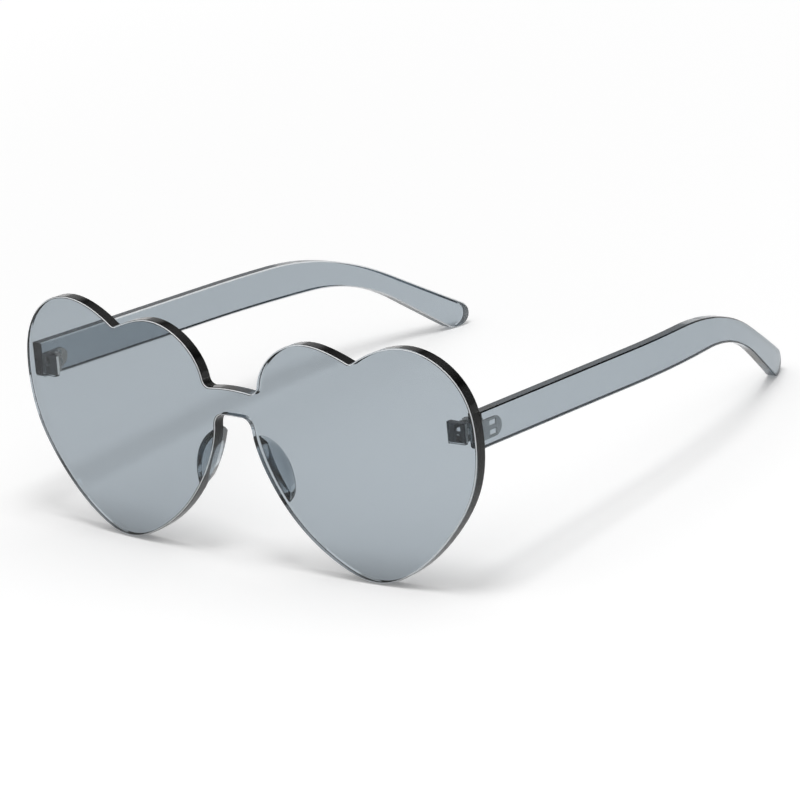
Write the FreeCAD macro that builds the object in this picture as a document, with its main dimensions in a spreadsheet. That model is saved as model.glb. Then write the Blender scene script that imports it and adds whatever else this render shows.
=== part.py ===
import FreeCAD, Part
import math
import os

# Rimless heart sunglasses, in millimetres.
# Drawn with the lens upright and the side arms level: X to the wearer's left,
# Y back along the arms from the front of the bridge, Z up from the lowest
# point of the hearts. At the end the whole is tipped back onto the table.

os.makedirs("parts", exist_ok=True)
doc = FreeCAD.newDocument("heart_sunglasses")
sheet = doc.addObject("Spreadsheet::Sheet", "Sizes")
Vector = FreeCAD.Vector
used_rows = []


def size(alias, value):
    """One driving size: a cell of the sheet and a number of the same name."""
    used_rows.append(alias)
    cell = "B%d" % len(used_rows)
    sheet.set("A%d" % len(used_rows), alias)
    sheet.set(cell, str(value))
    sheet.setAlias(cell, alias)
    return float(value)


# Lens: one plate with a gentle wrap, two hearts, a bridge and a nose gap.
lens_width = size("lens_width", 148.4)
lens_height = size("lens_height", 59.3)
lens_thickness = size("lens_thickness", 3.4)
lens_curve_radius = size("lens_curve_radius", 630)
lens_bevel = size("lens_bevel", 0.4)
bridge_share = size("bridge_share", 0.7302)
bridge_top_height = size("bridge_top_height", bridge_share * lens_height)
bridge_corner_x = size("bridge_corner_x", 8.7)
bridge_corner_radius = size("bridge_corner_radius", 2.0)
bridge_sag = size("bridge_sag", 0.7)
bridge_height = size("bridge_height", 6.9)
nose_gap_width = size("nose_gap_width", 11.8)
nose_corner_radius = size("nose_corner_radius", 3.0)
nose_gap_sag = size("nose_gap_sag", 0.2)
notch_radius = size("notch_radius", 1.5)
half_width = lens_width / 2
gap_top = bridge_top_height - bridge_height


def front_y(x):
    """Depth of the front face of the lens at a distance from the middle."""
    return lens_curve_radius - math.sqrt(lens_curve_radius ** 2 - x ** 2)


def back_y(x):
    """Depth of the back face of the lens at a distance from the middle."""
    return lens_curve_radius - math.sqrt(back_radius ** 2 - x ** 2)


back_radius = lens_curve_radius - lens_thickness

# Nose pads: leaf shaped wings bonded behind the nose edge of each heart.
pad_drop = size("pad_drop", 4.0)
pad_height = size("pad_height", 16.4)
pad_top_height = size("pad_top_height", gap_top - pad_drop)
pad_bottom_height = size("pad_bottom_height", pad_top_height - pad_height)
pad_edge_inset = size("pad_edge_inset", 0.3)
pad_base_width = size("pad_base_width", 4.9)
pad_depth = size("pad_depth", 3.3)
pad_lean = size("pad_lean", 18)
pad_waist_width = size("pad_waist_width", 4.0)
pad_waist_share = size("pad_waist_share", 0.89)
pad_ridge_width = size("pad_ridge_width", 2.6)
pad_ridge_share = size("pad_ridge_share", 0.72)
pad_bury = size("pad_bury", 1.0)
pad_lift = size("pad_lift", 1.0)

# Side arms: bars that fall a little toward the ear, its end bent down and bowed inward.
temple_inset = size("temple_inset", 1.0)
temple_outside_x = size("temple_outside_x", half_width - temple_inset)
temple_thickness = size("temple_thickness", 3.0)
temple_rise = size("temple_rise", 1.4)
temple_top_height = size("temple_top_height", bridge_top_height + temple_rise)
temple_front_height = size("temple_front_height", 9.0)
temple_fall = size("temple_fall", 0.72)
temple_lens_gap = size("temple_lens_gap", 0.3)
temple_edge_bevel = size("temple_edge_bevel", 0.3)
temple_front_round = size("temple_front_round", 1.2)
toe_in = size("toe_in", 1.8)
bow_start = size("bow_start", 66)
bow_radius = size("bow_radius", 213)
ear_tip_y = size("ear_tip_y", 140.2)
ear_drop = size("ear_drop", 26.0)
ear_tip_z = size("ear_tip_z", temple_top_height - ear_drop)
ear_tip_radius = size("ear_tip_radius", 3.6)
hook_top_angle = size("hook_top_angle", 31.5)
hook_bottom_angle = size("hook_bottom_angle", 37)
hook_top_radius = size("hook_top_radius", 70)
hook_bottom_radius = size("hook_bottom_radius", 42)

# Hinges: metal leaves, three knuckles on one slotted screw.
hinge_drop = size("hinge_drop", 5.1)
hinge_inset = size("hinge_inset", 5.2)
hinge_standoff = size("hinge_standoff", 3.2)
hinge_height = size("hinge_height", temple_top_height - hinge_drop)
hinge_axis_x = size("hinge_axis_x", temple_outside_x - hinge_inset)
hinge_axis_y = size("hinge_axis_y", back_y(hinge_axis_x) + hinge_standoff)
barrel_radius = size("barrel_radius", 1.5)
leaf_height = size("leaf_height", 4.8)
leaf_thickness = size("leaf_thickness", 0.8)
knuckle_gap = size("knuckle_gap", 0.12)
barrel_clearance = size("barrel_clearance", 0.35)
pin_radius = size("pin_radius", 0.7)
pin_clearance = size("pin_clearance", 0.05)
screw_head_radius = size("screw_head_radius", 1.2)
screw_head_height = size("screw_head_height", 0.5)
screw_slot_width = size("screw_slot_width", 0.35)
screw_slot_depth = size("screw_slot_depth", 0.25)
front_leaf_length = size("front_leaf_length", 4.8)
front_leaf_reach = size("front_leaf_reach", 1.5)
front_window = size("front_window", 1.6)
front_window_inset = size("front_window_inset", 1.9)
front_leaf_sink = size("front_leaf_sink", 0.5)
window_pitch = size("window_pitch", 2.3)
block_height = size("block_height", 5.4)
temple_leaf_rear = size("temple_leaf_rear", 6.1)
temple_leaf_front = size("temple_leaf_front", 1.4)
temple_window_length = size("temple_window_length", 2.5)
temple_window_height = size("temple_window_height", 1.3)
temple_window_inset = size("temple_window_inset", 1.7)

doc.recompute()

cut_reach = lens_height


def plane_of(body, role):
    """Origin plane of a body."""
    return [f for f in body.Origin.OriginFeatures if f.Role == role][0]


def new_sketch(body, role, name, offset=None):
    """Sketch on an origin plane of its body, moved along the plane's normal."""
    sketch = body.newObject("Sketcher::SketchObject", name)
    sketch.AttachmentSupport = [(plane_of(body, role), "")]
    sketch.MapMode = "FlatFace"
    if offset is not None:
        sketch.setExpression("AttachmentOffset.Base.z", offset)
    return sketch


def new_body(name):
    body = doc.addObject("PartDesign::Body", name)
    body.Label = name
    return body


def line(a, b):
    return Part.LineSegment(Vector(a[0], a[1], 0), Vector(b[0], b[1], 0))


def arc(a, mid, b):
    points = [Vector(p[0], p[1], 0) for p in (a, mid, b)]
    return Part.Arc(*points)


def spline(points):
    curve = Part.BSplineCurve()
    curve.interpolate([Vector(p[0], p[1], 0) for p in points])
    return curve


def through_both(feature):
    """Let a pad or pocket run the same way to both sides of its sketch."""
    if hasattr(feature, "SideType"):
        feature.SideType = "Symmetric"
    else:
        feature.Midplane = True


def box(name, corner, lengths):
    """Block from its lower corner and its three lengths, all as expressions."""
    solid = doc.addObject("Part::Box", name)
    for axis, value in zip("xyz", corner):
        solid.setExpression("Placement.Base." + axis, value)
    for prop, value in zip(("Length", "Width", "Height"), lengths):
        solid.setExpression(prop, value)
    return solid


def cylinder(name, base, radius, height):
    """Upright cylinder from the middle of its foot, all as expressions."""
    solid = doc.addObject("Part::Cylinder", name)
    for axis, value in zip("xyz", base):
        solid.setExpression("Placement.Base." + axis, value)
    solid.setExpression("Radius", radius)
    solid.setExpression("Height", height)
    return solid


def fuse(name, solids):
    joined = doc.addObject("Part::MultiFuse", name)
    joined.Shapes = solids
    return joined


def cut(name, base, tool):
    remainder = doc.addObject("Part::Cut", name)
    remainder.Base = base
    remainder.Tool = tool
    remainder.Label = name
    return remainder


def common(name, base, tool):
    shared = doc.addObject("Part::Common", name)
    shared.Base = base
    shared.Tool = tool
    shared.Label = name
    return shared


def upright_edges(shape, spots):
    """Names of the straight edges along Y that pass through the given spots."""
    names = []
    for number, edge in enumerate(shape.Edges, 1):
        ends = [v.Point for v in edge.Vertexes]
        if len(ends) != 2:
            continue
        if math.hypot(ends[0].x - ends[1].x, ends[0].z - ends[1].z) > 0.01:
            continue
        for x, z in spots:
            if math.hypot(abs(ends[0].x) - x, ends[0].z - z) < 0.02:
                names.append("Edge%d" % number)
    return names


# Lens outline: half of it as two curves, inner lobe and the rest of the heart.
def on_heart(across, up):
    """Point of the outline as shares of the half width and of the height."""
    return (across * half_width, up * lens_height)


def on_nose(across, up):
    """Point of the nose edge as shares of the gap width and of the lens height."""
    return (across * nose_gap_width, up * lens_height)


bridge_corner = (bridge_corner_x, bridge_top_height - bridge_sag)
gap_corner = (nose_gap_width / 2, gap_top - nose_gap_sag)
notch = on_heart(0.5283, 0.9056)
heart_tip = on_heart(0.566, 0)
inner_lobe = [
    bridge_corner,
    (1.149 * bridge_corner_x, 0.8078 * lens_height),
    on_heart(0.1927, 0.8946),
    on_heart(0.3396, 0.9654),
    on_heart(0.4367, 0.9477),
    notch,
]
heart_side = [
    notch,
    on_heart(0.6267, 0.9713),
    on_heart(0.7574, 1),
    on_heart(0.8922, 0.941),
    on_heart(0.9757, 0.8162),
    on_heart(1, 0.6661),
    on_heart(0.9717, 0.4401),
    on_heart(0.8733, 0.2462),
    on_heart(0.7305, 0.0826),
    heart_tip,
    on_heart(0.3908, 0.0624),
    on_heart(0.2237, 0.2226),
    on_nose(0.7627, 0.4081),
    on_nose(0.5297, 0.5363),
    gap_corner,
]


def mirrored(points):
    return [(-x, z) for x, z in points]


lens = new_body("lens")
outline = new_sketch(lens, "XZ_Plane", "heart_outline")
outline.addGeometry(arc(mirrored([bridge_corner])[0], (0, bridge_top_height), bridge_corner))
outline.addGeometry(spline(inner_lobe))
outline.addGeometry(spline(heart_side))
outline.addGeometry(arc(gap_corner, (0, gap_top), mirrored([gap_corner])[0]))
outline.addGeometry(spline(mirrored(heart_side)))
outline.addGeometry(spline(mirrored(inner_lobe)))
blank = lens.newObject("PartDesign::Pad", "heart_blank")
blank.Profile = outline
through_both(blank)
blank.setExpression("Length", "Sizes.lens_width / 4")
doc.recompute()

corners = [
    ("bridge_corners", [bridge_corner], "Sizes.bridge_corner_radius"),
    ("nose_corners", [gap_corner], "Sizes.nose_corner_radius"),
    ("notches", [notch], "Sizes.notch_radius"),
]
last = blank
for name, spots, radius in corners:
    rounding = lens.newObject("PartDesign::Fillet", name)
    rounding.Base = (last, upright_edges(last.Shape, spots))
    rounding.setExpression("Radius", radius)
    doc.recompute()
    last = rounding

# The front and back of the plate are swept by two arcs about one centre.
reach_x = half_width + 5
front_cut = new_sketch(lens, "XY_Plane", "front_curve")
front_left = (-reach_x, front_y(reach_x))
front_right = (reach_x, front_y(reach_x))
front_cut.addGeometry(arc(front_left, (0, 0), front_right))
front_cut.addGeometry(line(front_right, (reach_x, -cut_reach)))
front_cut.addGeometry(line((reach_x, -cut_reach), (-reach_x, -cut_reach)))
front_cut.addGeometry(line((-reach_x, -cut_reach), front_left))
front_face = lens.newObject("PartDesign::Pocket", "front_face")
front_face.Profile = front_cut
through_both(front_face)
front_face.setExpression("Length", "Sizes.lens_height * 3")

back_cut = new_sketch(lens, "XY_Plane", "back_curve")
back_left = (-reach_x, back_y(reach_x))
back_right = (reach_x, back_y(reach_x))
back_cut.addGeometry(arc(back_left, (0, lens_thickness), back_right))
back_cut.addGeometry(line(back_right, (reach_x, cut_reach)))
back_cut.addGeometry(line((reach_x, cut_reach), (-reach_x, cut_reach)))
back_cut.addGeometry(line((-reach_x, cut_reach), back_left))
back_face = lens.newObject("PartDesign::Pocket", "back_face")
back_face.Profile = back_cut
through_both(back_face)
back_face.setExpression("Length", "Sizes.lens_height * 3")
doc.recompute()

# A narrow polished bevel runs round both faces of the plate.
broad_faces = []
for number, face in enumerate(back_face.Shape.Faces, 1):
    if face.Surface.TypeId == "Part::GeomCylinder" and face.Surface.Radius > lens_curve_radius / 2:
        broad_faces.append("Face%d" % number)
bevel = lens.newObject("PartDesign::Chamfer", "edge_bevel")
bevel.Base = (back_face, broad_faces)
bevel.setExpression("Size", "Sizes.lens_bevel")
lens.Tip = bevel
doc.recompute()

# Room behind the lens: what is bonded on takes its seat from this cylinder.
behind_lens = cylinder(
    "behind_lens",
    ("0", "Sizes.lens_curve_radius", "-Sizes.lens_height"),
    "Sizes.lens_curve_radius - Sizes.lens_thickness",
    "Sizes.lens_height * 3",
)

# Nose pad: a leaf on the lens that draws in to a leaning, rounded ridge.
nose_edge = Part.Wire(spline(heart_side).toShape())


def edge_x(z):
    """Distance of the nose edge of the heart from the middle at a height."""
    level = Part.LineSegment(Vector(0, z, 0), Vector(heart_tip[0], z, 0)).toShape()
    gap, pairs, info = nose_edge.distToShape(level)
    return pairs[0][0].x


pad_root = back_y(edge_x(pad_bottom_height)) - pad_bury
pad_end = lens_thickness + pad_depth
pad_middle = (pad_top_height + pad_bottom_height) / 2
pad_foot = edge_x(pad_middle) + pad_edge_inset
leaf_top = (edge_x(pad_top_height) + pad_edge_inset, pad_top_height)
leaf_bottom = (edge_x(pad_bottom_height) + pad_edge_inset, pad_bottom_height)
pad_wing = new_body("pad_wing")


def pad_section(name, depth, width, share):
    """Leaf of the pad at a depth, between two arcs that meet at its ends."""
    shift = (depth - pad_root) * math.tan(math.radians(pad_lean))
    inner = (pad_foot + shift, pad_middle)
    outer = (inner[0] + width, pad_middle + pad_lift)
    chord_x = (leaf_top[0] + leaf_bottom[0]) / 2 - pad_foot
    centre_x = inner[0] + chord_x * width / pad_base_width
    half_lean = share * (leaf_top[0] - leaf_bottom[0]) / 2
    half_length = share * pad_height / 2
    top = (centre_x + half_lean, pad_middle + half_length)
    low = (centre_x - half_lean, pad_middle - half_length)
    section = new_sketch(pad_wing, "XZ_Plane", name)
    section.AttachmentOffset = FreeCAD.Placement(Vector(0, 0, -depth), FreeCAD.Rotation())
    section.addGeometry(arc(top, inner, low))
    section.addGeometry(arc(low, outer, top))
    return section


pad_waist_y = pad_root + 0.62 * (pad_end - pad_root)
pad_leaf = pad_section("pad_leaf", pad_root, pad_base_width, 1.0)
pad_waist = pad_section("pad_waist", pad_waist_y, pad_waist_width, pad_waist_share)
pad_ridge = pad_section("pad_ridge", pad_end, pad_ridge_width, pad_ridge_share)
pad_ridge.setExpression("AttachmentOffset.Base.z", "-(Sizes.lens_thickness + Sizes.pad_depth)")
wing_loft = pad_wing.newObject("PartDesign::AdditiveLoft", "wing_loft")
wing_loft.Profile = pad_leaf
wing_loft.Sections = [pad_waist, pad_ridge]
wing_loft.Ruled = False
pad_wing.Tip = wing_loft
doc.recompute()
nose_pad = common("nose_pad", pad_wing, behind_lens)

# Front hinge leaf: plate with two windows, arms to the outer two knuckles.
knuckle_height = "(Sizes.leaf_height - 2 * Sizes.knuckle_gap) / 3"
hinge_foot = "(Sizes.hinge_height - Sizes.leaf_height / 2)"
upper_knuckle = hinge_foot + " + 2 * " + knuckle_height + " + 2 * Sizes.knuckle_gap"
middle_knuckle = hinge_foot + " + " + knuckle_height + " + Sizes.knuckle_gap"
front_leaf_y = "(Sizes.hinge_axis_y - Sizes.barrel_radius - Sizes.barrel_clearance - Sizes.leaf_thickness)"
front_leaf_x = "(Sizes.hinge_axis_x + Sizes.front_leaf_reach - Sizes.front_leaf_length)"
front_plate = box(
    "front_plate",
    (front_leaf_x, front_leaf_y, hinge_foot),
    ("Sizes.front_leaf_length", "Sizes.leaf_thickness", "Sizes.leaf_height"),
)
front_arms = []
front_knuckles = []
for name, foot in (("lower", hinge_foot), ("upper", upper_knuckle)):
    arm = box(
        name + "_arm",
        ("Sizes.hinge_axis_x - Sizes.barrel_radius", front_leaf_y, foot),
        ("Sizes.leaf_thickness", "Sizes.hinge_axis_y - " + front_leaf_y, knuckle_height),
    )
    knuckle = cylinder(
        name + "_knuckle",
        ("Sizes.hinge_axis_x", "Sizes.hinge_axis_y", foot),
        "Sizes.barrel_radius",
        knuckle_height,
    )
    front_arms.append(arm)
    front_knuckles.append(knuckle)
front_windows = []
for name, side in (("lower", "-"), ("upper", "+")):
    opening = box(
        name + "_front_window",
        (
            front_leaf_x + " + Sizes.front_window_inset",
            front_leaf_y + " - Sizes.leaf_thickness",
            "Sizes.hinge_height " + side + " Sizes.window_pitch / 2 - Sizes.front_window / 2",
        ),
        ("Sizes.front_window", "Sizes.leaf_thickness * 3", "Sizes.front_window"),
    )
    front_windows.append(opening)
pin_bore = cylinder(
    "pin_bore",
    ("Sizes.hinge_axis_x", "Sizes.hinge_axis_y", hinge_foot + " - Sizes.leaf_height"),
    "Sizes.pin_radius + Sizes.pin_clearance",
    "Sizes.leaf_height * 3",
)
front_solid = fuse("front_solid", [front_plate] + front_arms + front_knuckles)
front_holes = fuse("front_holes", front_windows + [pin_bore])
front_leaf = cut("front_leaf", front_solid, front_holes)

# Hinge block: channel bonded to the lens; its posts fill the windows of the leaf.
block_rise = front_leaf_y + " + Sizes.front_leaf_sink"
block_blank = box(
    "block_blank",
    (front_leaf_x, "0", "Sizes.hinge_height - Sizes.block_height / 2"),
    ("Sizes.front_leaf_length", block_rise, "Sizes.block_height"),
)
block_seat = common("block_seat", block_blank, behind_lens)
hinge_block = cut("hinge_block", block_seat, front_leaf)

# Temple hinge leaf: plate with a round rear end, one arm and the middle knuckle.
temple_leaf_x = "(Sizes.hinge_axis_x + Sizes.barrel_radius + Sizes.barrel_clearance)"
temple_leaf_y = "(Sizes.hinge_axis_y - Sizes.temple_leaf_front)"
temple_plate = box(
    "temple_plate",
    (temple_leaf_x, temple_leaf_y, hinge_foot),
    (
        "Sizes.leaf_thickness",
        "Sizes.temple_leaf_front + Sizes.temple_leaf_rear - Sizes.leaf_height / 2",
        "Sizes.leaf_height",
    ),
)
round_end_y = "Sizes.hinge_axis_y + Sizes.temple_leaf_rear - Sizes.leaf_height / 2"
round_end = cylinder(
    "round_end",
    (temple_leaf_x, round_end_y, "Sizes.hinge_height"),
    "Sizes.leaf_height / 2",
    "Sizes.leaf_thickness",
)
round_end.Placement.Rotation = FreeCAD.Rotation(Vector(0, 1, 0), 90)
temple_arm = box(
    "temple_arm",
    ("Sizes.hinge_axis_x", "Sizes.hinge_axis_y", middle_knuckle),
    (
        "Sizes.barrel_radius + Sizes.barrel_clearance + Sizes.leaf_thickness / 2",
        "Sizes.barrel_radius",
        knuckle_height,
    ),
)
temple_knuckle = cylinder(
    "temple_knuckle",
    ("Sizes.hinge_axis_x", "Sizes.hinge_axis_y", middle_knuckle),
    "Sizes.barrel_radius",
    knuckle_height,
)
temple_windows = []
for name, side in (("lower", "-"), ("upper", "+")):
    opening = box(
        name + "_temple_window",
        (
            temple_leaf_x + " - Sizes.leaf_thickness",
            "Sizes.hinge_axis_y + Sizes.temple_window_inset",
            "Sizes.hinge_height " + side + " Sizes.window_pitch / 2 - Sizes.temple_window_height / 2",
        ),
        ("Sizes.leaf_thickness * 3", "Sizes.temple_window_length", "Sizes.temple_window_height"),
    )
    temple_windows.append(opening)
temple_solid = fuse("temple_solid", [temple_plate, round_end, temple_arm, temple_knuckle])
temple_holes = fuse("temple_holes", temple_windows + [pin_bore])
temple_leaf = cut("temple_leaf", temple_solid, temple_holes)

# Hinge screw: slotted head on the top knuckle, plain shank as the pin.
shank = cylinder(
    "shank",
    ("Sizes.hinge_axis_x", "Sizes.hinge_axis_y", hinge_foot),
    "Sizes.pin_radius",
    "Sizes.leaf_height + Sizes.screw_head_height / 2",
)
head = cylinder(
    "head",
    ("Sizes.hinge_axis_x", "Sizes.hinge_axis_y", hinge_foot + " + Sizes.leaf_height"),
    "Sizes.screw_head_radius",
    "Sizes.screw_head_height",
)
slot = box(
    "slot",
    (
        "Sizes.hinge_axis_x - Sizes.screw_head_radius * 1.5",
        "Sizes.hinge_axis_y - Sizes.screw_slot_width / 2",
        hinge_foot + " + Sizes.leaf_height + Sizes.screw_head_height - Sizes.screw_slot_depth",
    ),
    ("Sizes.screw_head_radius * 3", "Sizes.screw_slot_width", "Sizes.screw_head_height"),
)
screw_solid = fuse("screw_solid", [shank, head])
hinge_screw = cut("hinge_screw", screw_solid, slot)

# Side arm in plan: a straight strip, then a long bow toward the head.
temple_front = back_y(temple_outside_x) + temple_lens_gap
temple_inside_x = temple_outside_x - temple_thickness
bow_sweep = math.asin((ear_tip_y + 2 * ear_tip_radius - bow_start) / bow_radius)


def toed(x, y):
    """Point of the plan turned inward about the outer front corner."""
    turn = math.radians(toe_in)
    across = x - temple_outside_x
    along = y - temple_front
    return (
        temple_outside_x + across * math.cos(turn) - along * math.sin(turn),
        temple_front + across * math.sin(turn) + along * math.cos(turn),
    )


def on_bow(radius, angle):
    """Point of the bow in plan, about its centre inside the glasses."""
    x = temple_outside_x - bow_radius + radius * math.cos(angle)
    return toed(x, bow_start + radius * math.sin(angle))


inner_bow_radius = bow_radius - temple_thickness
temple_bar = new_body("temple_bar")
plan = new_sketch(temple_bar, "XY_Plane", "temple_plan")
front_in = toed(temple_inside_x, temple_front)
front_out = toed(temple_outside_x, temple_front)
plan.addGeometry(line(front_in, front_out))
plan.addGeometry(line(front_out, on_bow(bow_radius, 0)))
outer_bow = [on_bow(bow_radius, bow_sweep * share) for share in (0, 0.5, 1)]
inner_bow = [on_bow(inner_bow_radius, bow_sweep * share) for share in (1, 0.5, 0)]
plan.addGeometry(arc(*outer_bow))
plan.addGeometry(line(outer_bow[2], inner_bow[0]))
plan.addGeometry(arc(*inner_bow))
plan.addGeometry(line(inner_bow[2], front_in))
strip = temple_bar.newObject("PartDesign::Pad", "temple_strip")
strip.Profile = plan
through_both(strip)
strip.setExpression("Length", "Sizes.temple_top_height * 4")

# Side arm in side view: two long edges, both bent into the ear end.
top_dir = (math.cos(math.radians(hook_top_angle)), -math.sin(math.radians(hook_top_angle)))
low_dir = (math.cos(math.radians(hook_bottom_angle)), -math.sin(math.radians(hook_bottom_angle)))
tip_top = (ear_tip_y - ear_tip_radius * top_dir[1], ear_tip_z + ear_tip_radius * top_dir[0])
tip_low = (ear_tip_y + ear_tip_radius * low_dir[1], ear_tip_z - ear_tip_radius * low_dir[0])
tip_mid_angle = math.radians(-(hook_top_angle + hook_bottom_angle) / 2)
tip_end = (
    ear_tip_y + ear_tip_radius * math.cos(tip_mid_angle),
    ear_tip_z + ear_tip_radius * math.sin(tip_mid_angle),
)
edge_slope = math.radians(-temple_fall)
low_front = (temple_front, temple_top_height - temple_front_height)
front_top = (temple_front, temple_top_height)


def meet(point, slope, other, heading):
    """Crossing of a sloping edge with the line of a hook edge."""
    rise = math.tan(slope)
    steep = heading[1] / heading[0]
    y = (other[1] - point[1] + rise * point[0] - steep * other[0]) / (rise - steep)
    return (y, point[1] + rise * (y - point[0]))


def bend(corner, slope, heading, radius):
    """Start, middle and end of the arc that rounds a bend of an edge."""
    turn = slope - math.atan2(heading[1], heading[0])
    setback = radius * math.tan(turn / 2)
    start = (corner[0] - setback * math.cos(slope), corner[1] - setback * math.sin(slope))
    end = (corner[0] + setback * heading[0], corner[1] + setback * heading[1])
    centre = (start[0] + radius * math.sin(slope), start[1] - radius * math.cos(slope))
    to_corner = math.hypot(corner[0] - centre[0], corner[1] - centre[1])
    middle = (
        centre[0] + radius * (corner[0] - centre[0]) / to_corner,
        centre[1] + radius * (corner[1] - centre[1]) / to_corner,
    )
    return start, middle, end


top_corner = meet(front_top, edge_slope, tip_top, top_dir)
low_corner = meet(low_front, edge_slope, tip_low, low_dir)
top_start, top_middle, top_end = bend(top_corner, edge_slope, top_dir, hook_top_radius)
low_start, low_middle, low_end = bend(low_corner, edge_slope, low_dir, hook_bottom_radius)

lift = temple_front_round
side_view = new_sketch(temple_bar, "YZ_Plane", "temple_side")
side_view.addGeometry(line(front_top, top_start))
side_view.addGeometry(arc(top_start, top_middle, top_end))
side_view.addGeometry(line(top_end, tip_top))
side_view.addGeometry(arc(tip_top, tip_end, tip_low))
side_view.addGeometry(line(tip_low, low_end))
side_view.addGeometry(arc(low_end, low_middle, low_start))
corner_share = 1 - math.sqrt(0.5)
round_low = (temple_front + lift, low_front[1])
round_mid = (temple_front + lift * corner_share, low_front[1] + lift * corner_share)
round_high = (temple_front, low_front[1] + lift)
side_view.addGeometry(line(low_start, round_low))
side_view.addGeometry(arc(round_low, round_mid, round_high))
side_view.addGeometry(line(round_high, front_top))
frame_far = ear_tip_y + cut_reach
frame_corners = [
    (-cut_reach, -2 * cut_reach),
    (frame_far, -2 * cut_reach),
    (frame_far, 2 * cut_reach),
    (-cut_reach, 2 * cut_reach),
]
for here, there in zip(frame_corners, frame_corners[1:] + frame_corners[:1]):
    side_view.addGeometry(line(here, there))
trim = temple_bar.newObject("PartDesign::Pocket", "temple_trim")
trim.Profile = side_view
through_both(trim)
trim.setExpression("Length", "Sizes.lens_width * 2")
doc.recompute()

long_edges = []
for number, edge in enumerate(trim.Shape.Edges, 1):
    along_x = all(abs(v.Point.y - temple_front) < 0.01 for v in edge.Vertexes)
    across = edge.Length < temple_thickness * 1.2 and edge.Curve.TypeId == "Part::GeomLine"
    if not along_x and not across:
        long_edges.append("Edge%d" % number)
soften = temple_bar.newObject("PartDesign::Chamfer", "temple_edges")
soften.Base = (trim, long_edges)
soften.setExpression("Size", "Sizes.temple_edge_bevel")
temple_bar.Tip = soften
doc.recompute()
temple = cut("temple", temple_bar, temple_leaf)
doc.recompute()

# On the table it stands on both heart tips and both ear ends.
foot_y = back_y(heart_tip[0]) - lens_bevel
to_tip = math.hypot(ear_tip_y - foot_y, ear_tip_z)
stand_tilt = math.atan2(ear_tip_z, ear_tip_y - foot_y) - math.asin(ear_tip_radius / to_tip)
tip_back = FreeCAD.Rotation(Vector(1, 0, 0), -math.degrees(stand_tilt))
far_end = tip_back.multVec(Vector(0, ear_tip_y, ear_tip_z)).y + ear_tip_radius
lens_points, lens_facets = bevel.Shape.tessellate(lens_bevel / 4)
near_end = min(tip_back.multVec(point).y for point in lens_points)
stand = FreeCAD.Placement(
    Vector(0, -(near_end + far_end) / 2, foot_y * math.sin(stand_tilt)),
    tip_back,
)

one_side = [
    ("nose_pad", nose_pad),
    ("hinge_block", hinge_block),
    ("front_hinge_leaf", front_leaf),
    ("temple_hinge_leaf", temple_leaf),
    ("hinge_screw", hinge_screw),
    ("temple", temple),
]
lens.Placement = stand
pieces = [lens]
for name, made in one_side:
    placed = doc.addObject("Part::Compound", name + "_left")
    placed.Links = [made]
    placed.Label = name + "_left"
    placed.Placement = stand
    twin = doc.addObject("Part::Mirroring", name + "_right")
    twin.Source = placed
    twin.Normal = Vector(1, 0, 0)
    twin.Base = Vector(0, 0, 0)
    twin.Label = name + "_right"
    pieces.append(placed)
    pieces.append(twin)
doc.recompute()

for thing in doc.Objects:
    if "Invalid" in thing.State or "Error" in thing.State:
        raise RuntimeError("not built: " + thing.Name)
for piece in pieces:
    shape = piece.Shape
    if shape.isNull() or not shape.isValid() or shape.Volume <= 0:
        raise RuntimeError("no sound solid: " + piece.Label)
    shape.exportStep("parts/%s.step" % piece.Label)
    box_of = shape.BoundBox
    print(
        "%-24s %9.2f mm3  x %.1f..%.1f  y %.1f..%.1f  z %.2f..%.2f"
        % (
            piece.Label,
            shape.Volume,
            box_of.XMin,
            box_of.XMax,
            box_of.YMin,
            box_of.YMax,
            box_of.ZMin,
            box_of.ZMax,
        )
    )
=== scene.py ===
import math

import bpy
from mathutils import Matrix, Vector


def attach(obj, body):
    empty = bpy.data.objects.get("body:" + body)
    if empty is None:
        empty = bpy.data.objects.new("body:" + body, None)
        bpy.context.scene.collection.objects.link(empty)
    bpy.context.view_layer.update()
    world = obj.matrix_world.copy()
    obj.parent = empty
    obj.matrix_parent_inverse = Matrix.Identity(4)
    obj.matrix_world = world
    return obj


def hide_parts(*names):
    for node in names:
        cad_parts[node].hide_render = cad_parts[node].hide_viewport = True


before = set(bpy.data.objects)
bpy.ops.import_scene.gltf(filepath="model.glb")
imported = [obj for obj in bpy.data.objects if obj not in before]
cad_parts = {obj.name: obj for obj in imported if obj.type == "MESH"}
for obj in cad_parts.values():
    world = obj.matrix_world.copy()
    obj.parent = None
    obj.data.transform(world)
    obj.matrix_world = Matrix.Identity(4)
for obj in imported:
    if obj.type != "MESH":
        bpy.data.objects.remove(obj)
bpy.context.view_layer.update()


# Heart front: one 3.4 mm sheet of clear polycarbonate dyed grey-blue right through, two hearts joined by a bridge.
# It is moulded in one piece and polished, and every other piece hangs on its back. A look through the sheet is
# pale and a look along it, into its edges, is near black.
smoke_dye = "#658698"


def linear(shade):
    parts = [int(shade[i:i + 2], 16) / 255 for i in (1, 3, 5)]
    return [c / 12.92 if c <= 0.04045 else ((c + 0.055) / 1.055) ** 2.4 for c in parts] + [1.0]


def add(material, kind, sockets=None, **settings):
    node = material.node_tree.nodes.new(kind)
    for name, value in settings.items():
        setattr(node, name, value)
    for name, value in (sockets or {}).items():
        if isinstance(value, bpy.types.NodeSocket):
            material.node_tree.links.new(value, node.inputs[name])
        else:
            node.inputs[name].default_value = value
    return node


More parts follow.
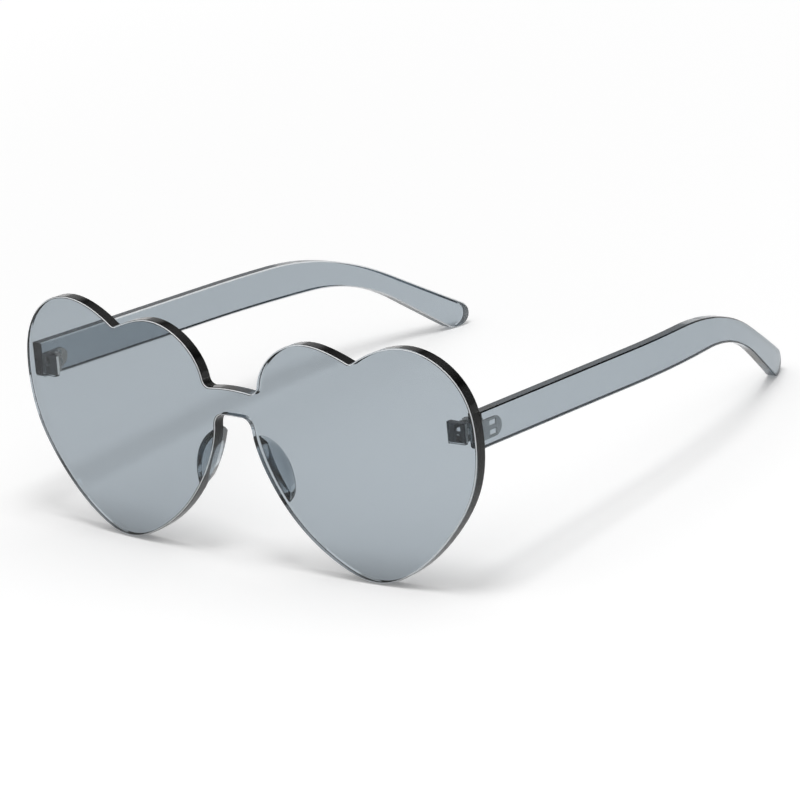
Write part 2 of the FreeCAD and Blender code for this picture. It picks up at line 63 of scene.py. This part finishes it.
def dyed_polycarbonate(name, strength, swell):
    """Moulded clear polycarbonate: mirror gloss with a slow swell left by the mould, hairline wear from cloths
    and cases, and a dye in its mass that takes more light the further a look goes through it. Faces marked
    tumbled_matt scatter what comes through them. The hairlines are drawn about 1 mm wide, coarser than real ones,
    which would not show at this size."""
    wipe_length, wipe_narrowing = 0.012, 14
    polished, worn, tumbled = 0.008, 0.03, 0.5
    swell_height, swell_share = 0.0002, 0.12
    plastic = bpy.data.materials.new(name)
    plastic.use_nodes = True
    plastic.node_tree.nodes.clear()
    place = add(plastic, "ShaderNodeTexCoord").outputs["Object"]
    flow = add(plastic, "ShaderNodeTexNoise", {"Vector": place, "Scale": 1 / swell, "Detail": 1.0})
    wipe_run = add(plastic, "ShaderNodeMapping", {
        "Vector": place, "Rotation": (0.5, 0.3, 0.7), "Scale": (1, 1, wipe_narrowing)})
    wipes = add(plastic, "ShaderNodeTexNoise", {
        "Vector": wipe_run.outputs["Vector"], "Scale": 1 / wipe_length, "Detail": 6.0})
    gloss = add(plastic, "ShaderNodeMapRange", {
        "Value": wipes.outputs["Fac"], "From Min": 0.35, "From Max": 0.75, "To Min": polished, "To Max": worn})
    marked = add(plastic, "ShaderNodeAttribute", attribute_name="tumbled_matt").outputs["Fac"]
    rough = add(plastic, "ShaderNodeMath", {0: marked, 1: tumbled, 2: gloss.outputs["Result"]},
                operation="MULTIPLY_ADD")
    skin = add(plastic, "ShaderNodeMix", {
        "Factor": wipes.outputs["Fac"], 6: linear("#FBFCFD"), 7: linear("#FFFFFF")}, data_type="RGBA")
    swells = add(plastic, "ShaderNodeBump", {
        "Height": flow.outputs["Fac"], "Strength": swell_share, "Distance": swell_height})
    body = add(plastic, "ShaderNodeBsdfPrincipled", {
        "Base Color": skin.outputs[2], "Roughness": rough.outputs[0], "Normal": swells.outputs["Normal"],
        "IOR": 1.58, "Transmission Weight": 1.0, "Specular Tint": linear("#B4B4B4")})
    mass = add(plastic, "ShaderNodeVolumeAbsorption", {"Color": linear(smoke_dye), "Density": strength})
    add(plastic, "ShaderNodeOutputMaterial", {"Surface": body.outputs["BSDF"], "Volume": mass.outputs["Volume"]})
    return plastic


# The narrow bevel that breaks the border of the front is drawn as ground plastic in an opaque near-white. This is a
# painted highlight standing in for the light the bevel reflects, so a fine white line runs round both hearts. The
# grit is drawn at 0.6 mm, coarser than the real grinding marks.
grit_size = 0.0006
bevel_painted_highlight = bpy.data.materials.new("polycarbonate_bevel_painted_highlight")
bevel_painted_highlight.use_nodes = True
bevel_painted_highlight.node_tree.nodes.clear()
bevel_place = add(bevel_painted_highlight, "ShaderNodeTexCoord").outputs["Object"]
grit = add(bevel_painted_highlight, "ShaderNodeTexNoise", {"Vector": bevel_place, "Scale": 1 / grit_size, "Detail": 3.0})
bevel_tone = add(bevel_painted_highlight, "ShaderNodeMix", {
    "Factor": grit.outputs["Fac"], 6: linear("#CBD2D7"), 7: linear("#FFFFFF")}, data_type="RGBA")
bevel_skin = add(bevel_painted_highlight, "ShaderNodeBsdfPrincipled", {
    "Base Color": bevel_tone.outputs[2], "Roughness": 0.4, "IOR": 1.58})
add(bevel_painted_highlight, "ShaderNodeOutputMaterial", {"Surface": bevel_skin.outputs["BSDF"]})


def own_copy(node, name):
    """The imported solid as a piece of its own, its loose triangles merged."""
    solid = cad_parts[node]
    piece = bpy.data.objects.new(name, solid.data.copy())
    bpy.context.scene.collection.objects.link(piece)
    bpy.ops.object.select_all(action="DESELECT")
    piece.select_set(True)
    bpy.context.view_layer.objects.active = piece
    bpy.ops.mesh.customdata_custom_splitnormals_clear()
    bpy.ops.object.mode_set(mode="EDIT")
    bpy.ops.mesh.select_all(action="SELECT")
    bpy.ops.mesh.remove_doubles(threshold=1e-6)
    bpy.ops.object.mode_set(mode="OBJECT")
    bpy.ops.object.shade_smooth_by_angle(angle=math.radians(25))
    piece.data.materials.clear()
    return piece


def fit(piece, body, slot, *nodes):
    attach(piece, body)
    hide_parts(*nodes)


lean = math.radians(6.33638)
front_radius, sheet = 0.630, 0.0034
front_foot_y, front_foot_z = -0.0730544, 0.0004866


def behind_sheet(point):
    """How far a point lies behind the front face of the sheet, which is bent round an upright axis, and the
    way back from there."""
    back = (point.y - front_foot_y) * math.cos(lean) - (point.z - front_foot_z) * math.sin(lean)
    across = (point.x, back - front_radius)
    reach = math.hypot(*across)
    way = -across[1] / reach
    return front_radius - reach, Vector((-across[0] / reach, way * math.cos(lean), -way * math.sin(lean)))


hearts = own_copy("lens", "heart_front")
hearts.data.materials.append(dyed_polycarbonate("polycarbonate_dyed_sheet", 272.0, 0.022))
hearts.data.materials.append(bevel_painted_highlight)
bevel_facing = (-0.9, -0.5)
polished_margin = 0.00015
bpy.ops.object.mode_set(mode="EDIT")
bpy.ops.mesh.select_mode(type="FACE")
bpy.ops.mesh.select_all(action="DESELECT")
bpy.ops.object.mode_set(mode="OBJECT")
for face in hearts.data.polygons:
    facing = face.normal.dot(behind_sheet(face.center)[1])
    face.select = bevel_facing[0] < facing < bevel_facing[1]
bpy.ops.object.mode_set(mode="EDIT")
bpy.ops.mesh.inset(thickness=polished_margin, use_even_offset=True)
bpy.ops.object.mode_set(mode="OBJECT")
# Bevel faces, less a polished margin, take the near-white bevel: a painted highlight.
for face in hearts.data.polygons:
    face.material_index = 1 if face.select else 0
fit(hearts, "front", "tinted_polycarbonate", "lens")


# Nose pads and hinge blocks: small mouldings of the same clear dyed plastic, bonded to the back of the front with
# solvent, which bites a little way in, so that no mirror of air is left in the joint. The pads are leaf shaped,
# rounded and lean outwards; the blocks hold the front leaf of each hinge on two posts.
pad_plastic = dyed_polycarbonate("polycarbonate_dyed_pads", 250.0, 0.009)
solvent_bite, bond_zone = 0.00004, 0.00025
pad_grain, rounding_passes = 0.00012, 70


def spans(piece):
    """Lowest and highest place of a piece's corners on each axis."""
    corners = piece.data.vertices
    return [(min(c.co[i] for c in corners), max(c.co[i] for c in corners)) for i in range(3)]


for side in ("left", "right"):
    for node, name in (("nose_pad_", "nose_pad_leaf_"), ("hinge_block_", "hinge_boss_")):
        moulding = own_copy(node + side, name + side)
        if node == "nose_pad_":
            grain = moulding.modifiers.new("even grain", "REMESH")
            grain.mode = "VOXEL"
            grain.voxel_size = pad_grain
            grain.use_smooth_shade = True
            bpy.ops.object.modifier_apply(modifier=grain.name)
            full_size = spans(moulding)
            rounded = moulding.modifiers.new("polished round", "SMOOTH")
            rounded.factor = 0.5
            rounded.iterations = rounding_passes
            bpy.ops.object.modifier_apply(modifier=rounded.name)
            for i, ((low, high), (shrunk_low, shrunk_high)) in enumerate(zip(full_size, spans(moulding))):
                for corner in moulding.data.vertices:
                    shrunk = corner.co[i] - shrunk_low
                    corner.co[i] = low + shrunk * (high - low) / (shrunk_high - shrunk_low)
        for corner in moulding.data.vertices:
            depth, back = behind_sheet(corner.co)
            if depth < sheet + bond_zone:
                corner.co += back * (sheet - solvent_bite - depth)
        moulding.data.materials.append(pad_plastic)
        fit(moulding, "front", "pad_polycarbonate", node + side)


# Hinge leaves: stamped from brass strip, rolled into knuckles and nickel plated, with windows that the posts come
# through. The front leaf sits in the block and the other is pressed warm into the side arm, each without a gap.
# The edges left by the shear are drawn in a brighter nickel as a painted highlight, and the faces sealed under the
# arm's plastic in a brighter nickel as a painted reflection.
def nickel_plate(name, bright, dull, line_spacing):
    """Plated or turned bright metal: fine lines along the way it was worked, with duller patches where it is
    handled. The lines are drawn coarser than the real ones of about 0.02 mm."""
    patch_size, line_stretch, line_depth = 0.0018, 9, 0.00002
    smooth, scored = 0.2, 0.36
    metal = bpy.data.materials.new(name)
    metal.use_nodes = True
    metal.node_tree.nodes.clear()
    place = add(metal, "ShaderNodeTexCoord").outputs["Object"]
    run = add(metal, "ShaderNodeMapping", {"Vector": place, "Scale": (1, 1, line_stretch)})
    lines = add(metal, "ShaderNodeTexNoise", {
        "Vector": run.outputs["Vector"], "Scale": 1 / line_spacing, "Detail": 4.0})
    patches = add(metal, "ShaderNodeTexNoise", {"Vector": place, "Scale": 1 / patch_size, "Detail": 2.0})
    colour = add(metal, "ShaderNodeMix", {
        "Factor": patches.outputs["Fac"], 6: linear(dull), 7: linear(bright)}, data_type="RGBA")
    rough = add(metal, "ShaderNodeMapRange", {
        "Value": lines.outputs["Fac"], "From Min": 0.3, "From Max": 0.7, "To Min": smooth, "To Max": scored})
    relief = add(metal, "ShaderNodeBump", {
        "Height": lines.outputs["Fac"], "Strength": 0.25, "Distance": line_depth})
    skin = add(metal, "ShaderNodeBsdfPrincipled", {
        "Base Color": colour.outputs[2], "Roughness": rough.outputs["Result"], "Normal": relief.outputs["Normal"],
        "Metallic": 1.0})
    add(metal, "ShaderNodeOutputMaterial", {"Surface": skin.outputs["BSDF"]})
    return metal


def eased(piece, width):
    """Edges eased as tumbling leaves them."""
    bevel = piece.modifiers.new("eased edges", "BEVEL")
    bevel.width = width
    bevel.segments = 2
    bevel.limit_method = "ANGLE"
    bevel.angle_limit = math.radians(40)
    bpy.ops.object.modifier_apply(modifier=bevel.name)


leaf_ease, leaf_lines = 0.00007, 0.00012
handled_nickel = nickel_plate("nickel_rolled_on_brass", "#A9A8A5", "#85837F", leaf_lines)
# Two brighter copies of the same nickel: a painted highlight for the edges left by the shear, and a painted
# reflection for the faces under the arm's plastic.
edge_highlight_nickel = nickel_plate("nickel_painted_edge_highlight", "#F4F2EE", "#E4E2DE", leaf_lines)
reflection_nickel = nickel_plate("nickel_painted_reflection_under_plastic", "#F2F0EC", "#E2E0DC", leaf_lines)
pin_out, pin_y, pin_z = 0.068, -0.058446, 0.038709
pin_axis = Vector((0, math.sin(lean), math.cos(lean)))
plate_way = Vector((0, math.cos(lean), -math.sin(lean)))
seat_depth, arm_inner_face = 0.00045, 0.07022
barrel_reach, window_band = 0.0017, 0.0021
wall_turn, outer_turn = 0.3, 0.5
for side, out in (("left", 1), ("right", -1)):
    pin = Vector((out * pin_out, pin_y, pin_z))
    for node, name, body in (("front_hinge_leaf_", "front_leaf_", "front"),
                             ("temple_hinge_leaf_", "temple_leaf_", side + "_arm")):
        on_front = body == "front"
        leaf = own_copy(node + side, name + side)
        eased(leaf, leaf_ease)
        plate_normal = plate_way if on_front else Vector((1, 0, 0))
        seat = min(corner.co.dot(plate_way) for corner in leaf.data.vertices) + seat_depth
        for corner in leaf.data.vertices:
            sunk = corner.co.dot(plate_way) < seat if on_front else abs(corner.co.x) > arm_inner_face
            if sunk:
                corner.co += corner.normal * solvent_bite
        for finish in (handled_nickel, edge_highlight_nickel, reflection_nickel):
            leaf.data.materials.append(finish)
        # Shear edges take the painted highlight copy, faces under the arm's plastic the painted reflection copy, the
        # rest the handled nickel.
        for face in leaf.data.polygons:
            spot = face.center - pin
            along = spot.dot(pin_axis)
            painted_highlight_edge = (abs(face.normal.dot(plate_normal)) < wall_turn and abs(along) < window_band
                       and (spot - along * pin_axis).length > barrel_reach)
            painted_reflection_face = not on_front and face.normal.x * out > outer_turn
            face.material_index = 1 if painted_highlight_edge else 2 if painted_reflection_face else 0
        fit(leaf, body, "hinge_metal", node + side)


# Hinge screws: turned from steel bar, 1.4 mm thick, with a slotted head that sits on the top knuckle. Each holds
# one front leaf and one arm leaf together and is the pin that the side arm turns on.
screw_ease, screw_lines = 0.00005, 0.00025
screw_steel = nickel_plate("steel_turned_bright", "#CFCECC", "#A5A4A2", screw_lines)
for side in ("left", "right"):
    screw = own_copy("hinge_screw_" + side, "screw_" + side)
    eased(screw, screw_ease)
    screw.data.materials.append(screw_steel)
    fit(screw, "front", "screw_metal", "hinge_screw_" + side)


# Side arms: moulded in the same dyed polycarbonate as the front, 3 mm thick, bent down behind the ear, with the
# hinge leaf let into the inner face. The long inner edges carry the same near-white bevel as the border of the
# front, a painted highlight; the outer ones are polished, and the round ends of the ear tips are matt, as tumbling
# leaves them.
arm_plastic = dyed_polycarbonate("polycarbonate_dyed_arms", 330.0, 0.03)
tip_length, end_turn = 0.005, 0.4
bevel_turn, bevel_rise = (0.45, 0.85), 0.35
for side, out in (("left", 1), ("right", -1)):
    arm = own_copy("temple_" + side, "side_arm_" + side)
    arm.data.materials.append(arm_plastic)
    arm.data.materials.append(bevel_painted_highlight)
    tip_start = max(corner.co.y for corner in arm.data.vertices) - tip_length
    matt_faces = arm.data.attributes.new("tumbled_matt", "FLOAT", "FACE")
    for face in arm.data.polygons:
        inward = -out * face.normal.x
        inner_bevel = bevel_turn[0] < inward < bevel_turn[1] and abs(face.normal.z) > bevel_rise
        round_end = face.center.y > tip_start and abs(inward) < end_turn
        # Inner bevel faces take the near-white bevel, a painted highlight.
        face.material_index = 1 if inner_bevel else 0
        matt_faces.data[face.index].value = 1.0 if round_end else 0.0
    fit(arm, side + "_arm", "temple_polycarbonate", "temple_" + side)


# Table: a sheet of white matt paper. It is lifted to white only where it is looked at, straight or by way of metal
# and plastic, so that no more light falls on the glasses and their shadow stays. Away from the glasses the lift
# grows, as the softbox reaches less far.
def looked_at(material):
    """Two shares: the first is 1 for a straight look, the second is 1 for any look, straight or by way of metal and
    plastic. Both are 0 for the light that it gives to other things."""
    path = add(material, "ShaderNodeLightPath").outputs
    seen = add(material, "ShaderNodeMath", {0: path["Is Camera Ray"], 1: path["Is Glossy Ray"]},
               operation="MAXIMUM")
    seen = add(material, "ShaderNodeMath", {0: seen.outputs[0], 1: path["Is Transmission Ray"]},
               operation="MAXIMUM")
    return path["Is Camera Ray"], seen.outputs[0]


table_size, table_drop = 6.0, 0.00002
near_lift, distant_lift, straight_lift = 0.19, 0.7, 0.33
bpy.ops.object.select_all(action="DESELECT")
bpy.ops.mesh.primitive_plane_add(size=table_size, location=(0, 0, -table_drop))
table = bpy.context.object
table.name = "table"
paper = bpy.data.materials.new("paper_matt_white")
paper.use_nodes = True
paper.node_tree.nodes.clear()
straight, seen = looked_at(paper)
spot = add(paper, "ShaderNodeTexCoord").outputs["Object"]
away = add(paper, "ShaderNodeVectorMath", {0: spot}, operation="LENGTH").outputs["Value"]
all_looks = add(paper, "ShaderNodeMapRange", {
    "Value": away, "From Min": 0.9, "From Max": 2.0, "To Min": near_lift, "To Max": distant_lift})
straight_looks = add(paper, "ShaderNodeMapRange", {
    "Value": away, "From Min": 0.08, "From Max": 0.7, "To Min": 0.0, "To Max": straight_lift})
straight_looks = add(paper, "ShaderNodeMath", {0: straight, 1: straight_looks.outputs["Result"]},
                     operation="MULTIPLY")
lift = add(paper, "ShaderNodeMath", {0: seen, 1: all_looks.outputs["Result"], 2: straight_looks.outputs[0]},
           operation="MULTIPLY_ADD")
sheet_white = add(paper, "ShaderNodeBsdfDiffuse", {"Color": linear("#F4F4F4")})
lifted = add(paper, "ShaderNodeEmission", {"Color": linear("#FFFFFF"), "Strength": lift.outputs[0]})
both = add(paper, "ShaderNodeAddShader", {0: sheet_white.outputs[0], 1: lifted.outputs[0]})
add(paper, "ShaderNodeOutputMaterial", {"Surface": both.outputs[0]})
table.data.materials.append(paper)


# Studio light: one overhead softbox, in a studio that is dim low down and bright overhead, which leaves the polished
# edges dark. A pale backdrop behind the table gives the top edges a soft grey, and the white paper runs on past the
# table's end. Both are only seen, straight or by way of metal and plastic, and light nothing.
key_place, key_aim = (0.10, -0.06, 0.62), (0.0, -0.03, 0.0)
key_width, key_radiance = 0.22, 9.8
lamp = bpy.data.lights.new("key_softbox", "AREA")
lamp.shape = "RECTANGLE"
lamp.size = lamp.size_y = key_width
lamp.energy = key_radiance * math.pi * key_width * key_width
key = bpy.data.objects.new("key_softbox", lamp)
bpy.context.scene.collection.objects.link(key)
key.location = key_place
way_x, way_y, way_z = [place - aim for place, aim in zip(key_place, key_aim)]
key.rotation_euler = (math.atan2(math.hypot(way_x, way_y), way_z), 0, math.atan2(way_x, -way_y))

dim, overhead, backdrop_tone = 0.02, 0.95, 0.5
studio = bpy.data.worlds.new("studio")
bpy.context.scene.world = studio
studio.use_nodes = True
studio.node_tree.nodes.clear()
outward = add(studio, "ShaderNodeTexCoord").outputs["Generated"]
outward = add(studio, "ShaderNodeSeparateXYZ", {"Vector": outward}).outputs
room = add(studio, "ShaderNodeMapRange", {
    "Value": outward["Z"], "From Min": 0.4, "From Max": 0.9, "To Min": dim, "To Max": overhead},
    interpolation_type="SMOOTHSTEP")
behind = add(studio, "ShaderNodeMapRange", {
    "Value": outward["Y"], "From Min": 0.4, "From Max": 0.6, "To Min": 0.0, "To Max": 1.0},
    interpolation_type="SMOOTHSTEP")
low = add(studio, "ShaderNodeMapRange", {
    "Value": outward["Z"], "From Min": 0.38, "From Max": 0.5, "To Min": backdrop_tone, "To Max": 0.0},
    interpolation_type="SMOOTHSTEP")
backdrop = add(studio, "ShaderNodeMath", {0: behind.outputs["Result"], 1: low.outputs["Result"]},
               operation="MULTIPLY")
paper_end = add(studio, "ShaderNodeMapRange", {
    "Value": outward["Z"], "From Min": 0.09, "From Max": 0.16, "To Min": 1.0, "To Max": 0.0},
    interpolation_type="SMOOTHSTEP")
pale = add(studio, "ShaderNodeMath", {0: backdrop.outputs[0], 1: paper_end.outputs["Result"]},
           operation="MAXIMUM")
glow = add(studio, "ShaderNodeMath", {0: looked_at(studio)[1], 1: pale.outputs[0], 2: room.outputs["Result"]},
           operation="MULTIPLY_ADD")
sky = add(studio, "ShaderNodeBackground", {"Color": linear("#FFFFFF"), "Strength": glow.outputs[0]})
add(studio, "ShaderNodeOutputWorld", {"Surface": sky.outputs["Background"]})


# Camera: a long lens about 1.3 m away, a little above the glasses and to the left of the one who wears them, turned
# slightly on its own axis.
camera = bpy.data.objects.new("camera", bpy.data.cameras.new("camera"))
bpy.context.scene.collection.objects.link(camera)
camera.location = (0.859225, -0.883001, 0.481990)
camera.rotation_euler = [math.radians(a) for a in (68.9413, 9.3122, 41.0224)]
camera.data.lens = 237.163
camera.data.sensor_width = 36.0
bpy.context.scene.camera = camera
bpy.context.scene.view_settings.view_transform = "Standard"
